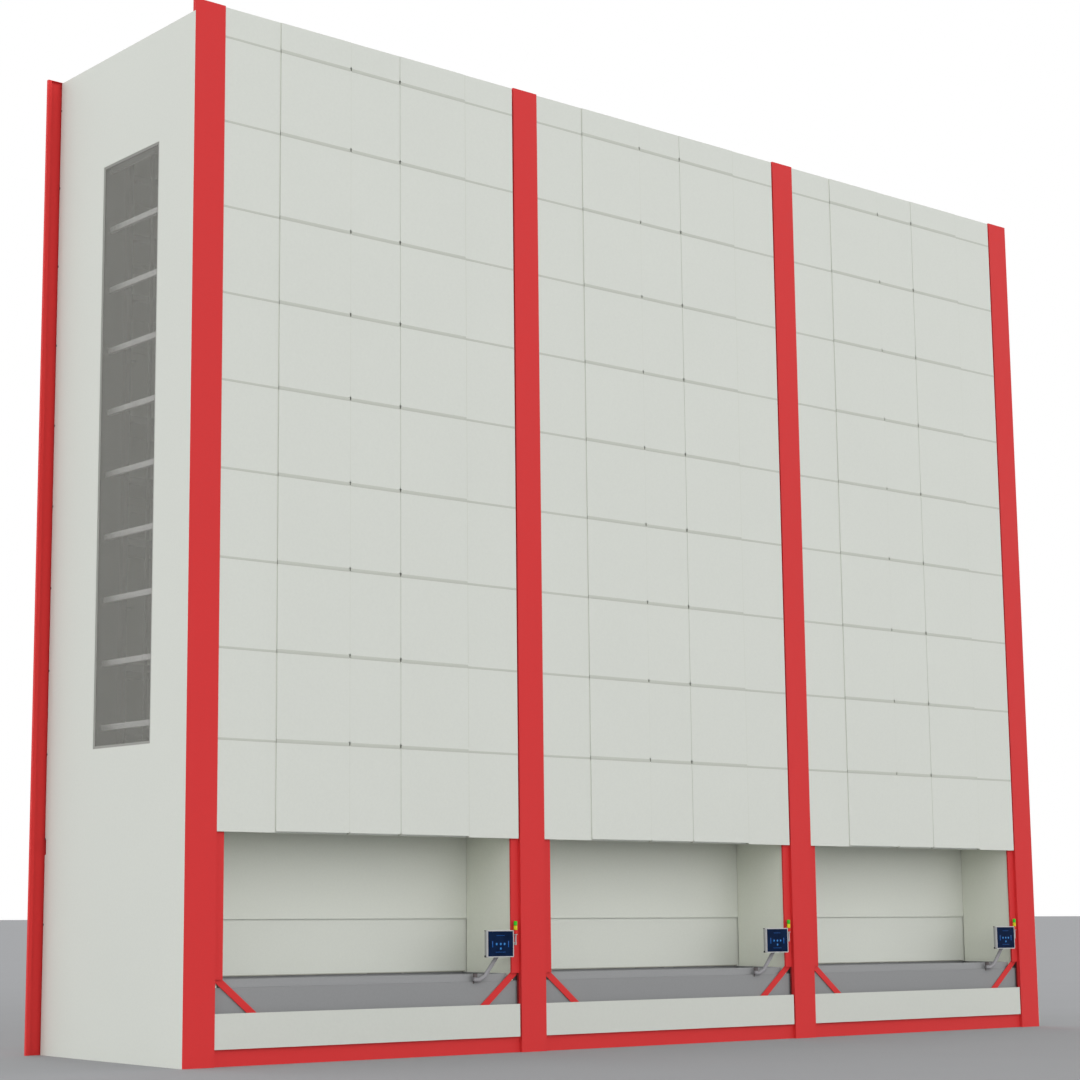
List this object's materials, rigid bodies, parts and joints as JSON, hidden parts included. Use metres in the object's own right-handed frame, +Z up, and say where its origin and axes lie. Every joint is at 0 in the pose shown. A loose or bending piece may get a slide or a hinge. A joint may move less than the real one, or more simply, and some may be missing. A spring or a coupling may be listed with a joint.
{
  "type": "vertical lift module",
  "caption": "Tall bank of automated storage towers with an access opening, a delivered tray and a swivelling console in each, and a lift that carries trays between its racks.",
  "frame": {"origin": "on the floor at the centre of the bank's bounding box", "axes": "+Z up, +X to the right seen from the front, the front with the access openings faces -Y"},
  "size_m": [13.936, 2.862, 11.02],
  "materials": {
    "post_red": "satin",
    "panel_white": "satin",
    "liner_white": "satin",
    "rack_steel": "galvanised",
    "base_dark": "satin",
    "tray_grey": "satin",
    "table_grey": "satin",
    "window_glass": "smoked",
    "carriage_steel": "satin",
    "roller_dark": "matt",
    "motor_grey": "cast",
    "drive_steel": "machined",
    "console_grey": "matt",
    "arm_grey": "satin",
    "bracket_dark": "satin",
    "screen_blue": "gloss",
    "lens_green": "gloss",
    "lens_amber": "gloss",
    "lens_red": "gloss"
  },
  "bodies": {
    "housing": {"front_posts": "post_red", "rear_posts": "post_red", "sill_beams": "post_red", "access_jambs": "post_red", "access_braces": "post_red", "outer_front_panels": "panel_white", "middle_front_panels": "panel_white", "low_front_panels": "panel_white", "left_side_wall": "panel_white", "right_side_wall": "panel_white", "side_window": "window_glass", "rear_panels": "panel_white", "roof_panels": "panel_white", "base_frame": "base_dark", "rack_columns": "rack_steel", "tray_ledges": "rack_steel", "tie_rails": "rack_steel", "cladding_rails": "panel_white", "stored_trays": "tray_grey", "lift_guides": "rack_steel", "lift_chains": "drive_steel", "shutter_frames": "liner_white", "cavity_liners": "liner_white", "access_tables": "table_grey", "control_cabinets": "table_grey", "console_brackets": "bracket_dark", "stack_light_poles": "console_grey", "green_lenses": "lens_green", "amber_lenses": "lens_amber", "red_lenses": "lens_red"},
    "lift_carriage_1": {"lift_carriage_1": "carriage_steel", "guide_rollers_1": "roller_dark", "gear_motor_1": "motor_grey"},
    "drive_shaft_1": {"drive_shaft_1": "drive_steel"},
    "tray_extractor_1": {"tray_extractor_1": "bracket_dark"},
    "delivered_tray_1": {"delivered_tray_1": "tray_grey"},
    "access_door_1": {"access_door_1": "liner_white"},
    "console_arm_1": {"console_arm_1": "arm_grey"},
    "monitor_1": {"monitor_case_1": "console_grey", "monitor_screen_1": "screen_blue"},
    "lift_carriage_2": {"lift_carriage_2": "carriage_steel", "guide_rollers_2": "roller_dark", "gear_motor_2": "motor_grey"},
    "drive_shaft_2": {"drive_shaft_2": "drive_steel"},
    "tray_extractor_2": {"tray_extractor_2": "bracket_dark"},
    "delivered_tray_2": {"delivered_tray_2": "tray_grey"},
    "access_door_2": {"access_door_2": "liner_white"},
    "console_arm_2": {"console_arm_2": "arm_grey"},
    "monitor_2": {"monitor_case_2": "console_grey", "monitor_screen_2": "screen_blue"},
    "lift_carriage_3": {"lift_carriage_3": "carriage_steel", "guide_rollers_3": "roller_dark", "gear_motor_3": "motor_grey"},
    "drive_shaft_3": {"drive_shaft_3": "drive_steel"},
    "tray_extractor_3": {"tray_extractor_3": "bracket_dark"},
    "delivered_tray_3": {"delivered_tray_3": "tray_grey"},
    "access_door_3": {"access_door_3": "liner_white"},
    "console_arm_3": {"console_arm_3": "arm_grey"},
    "monitor_3": {"monitor_case_3": "console_grey", "monitor_screen_3": "screen_blue"}
  },
  "joints": [
    {"name": "lift_travel_1", "type": "slide", "parent": "housing", "child": "lift_carriage_1", "axis": [0, 0, 1], "range_m": [-0.45, 9.4]},
    {"name": "drive_turn_1", "type": "hinge", "parent": "lift_carriage_1", "child": "drive_shaft_1", "pos_m": [-4.4, 0.021, 0.67], "axis": [1, 0, 0], "range_deg": [-9000, 450]},
    {"name": "extractor_travel_1", "type": "slide", "parent": "lift_carriage_1", "child": "tray_extractor_1", "axis": [0, 1, 0], "range_m": [-0.35, 0.35]},
    {"name": "tray_travel_1", "type": "slide", "parent": "housing", "child": "delivered_tray_1", "axis": [0, 1, 0], "range_m": [0, 0.941]},
    {"name": "door_travel_1", "type": "slide", "parent": "housing", "child": "access_door_1", "axis": [0, 0, 1], "range_m": [0, 0.59]},
    {"name": "arm_swing_1", "type": "hinge", "parent": "housing", "child": "console_arm_1", "pos_m": [-3.004, -1.341, 0.8], "axis": [0, 0, 1], "range_deg": [-90, 0]},
    {"name": "monitor_tilt_1", "type": "hinge", "parent": "console_arm_1", "child": "monitor_1", "pos_m": [-2.686, -1.341, 1.064], "axis": [1, 0, 0], "range_deg": [-15, 15]},
    {"name": "lift_travel_2", "type": "slide", "parent": "housing", "child": "lift_carriage_2", "axis": [0, 0, 1], "range_m": [-0.45, 9.4]},
    {"name": "drive_turn_2", "type": "hinge", "parent": "lift_carriage_2", "child": "drive_shaft_2", "pos_m": [0, 0.021, 0.67], "axis": [1, 0, 0], "range_deg": [-9000, 450]},
    {"name": "extractor_travel_2", "type": "slide", "parent": "lift_carriage_2", "child": "tray_extractor_2", "axis": [0, 1, 0], "range_m": [-0.35, 0.35]},
    {"name": "tray_travel_2", "type": "slide", "parent": "housing", "child": "delivered_tray_2", "axis": [0, 1, 0], "range_m": [0, 0.941]},
    {"name": "door_travel_2", "type": "slide", "parent": "housing", "child": "access_door_2", "axis": [0, 0, 1], "range_m": [0, 0.59]},
    {"name": "arm_swing_2", "type": "hinge", "parent": "housing", "child": "console_arm_2", "pos_m": [1.396, -1.341, 0.8], "axis": [0, 0, 1], "range_deg": [-90, 0]},
    {"name": "monitor_tilt_2", "type": "hinge", "parent": "console_arm_2", "child": "monitor_2", "pos_m": [1.714, -1.341, 1.064], "axis": [1, 0, 0], "range_deg": [-15, 15]},
    {"name": "lift_travel_3", "type": "slide", "parent": "housing", "child": "lift_carriage_3", "axis": [0, 0, 1], "range_m": [-0.45, 9.4]},
    {"name": "drive_turn_3", "type": "hinge", "parent": "lift_carriage_3", "child": "drive_shaft_3", "pos_m": [4.4, 0.021, 0.67], "axis": [1, 0, 0], "range_deg": [-9000, 450]},
    {"name": "extractor_travel_3", "type": "slide", "parent": "lift_carriage_3", "child": "tray_extractor_3", "axis": [0, 1, 0], "range_m": [-0.35, 0.35]},
    {"name": "tray_travel_3", "type": "slide", "parent": "housing", "child": "delivered_tray_3", "axis": [0, 1, 0], "range_m": [0, 0.941]},
    {"name": "door_travel_3", "type": "slide", "parent": "housing", "child": "access_door_3", "axis": [0, 0, 1], "range_m": [0, 0.59]},
    {"name": "arm_swing_3", "type": "hinge", "parent": "housing", "child": "console_arm_3", "pos_m": [5.796, -1.341, 0.8], "axis": [0, 0, 1], "range_deg": [-90, 0]},
    {"name": "monitor_tilt_3", "type": "hinge", "parent": "console_arm_3", "child": "monitor_3", "pos_m": [6.114, -1.341, 1.064], "axis": [1, 0, 0], "range_deg": [-15, 15]}
  ],
  "couplings": [
    {"joint": "drive_turn_1", "follows": "lift_travel_1", "rad_per_m": -16.667},
    {"joint": "drive_turn_2", "follows": "lift_travel_2", "rad_per_m": -16.667},
    {"joint": "drive_turn_3", "follows": "lift_travel_3", "rad_per_m": -16.667}
  ]
}
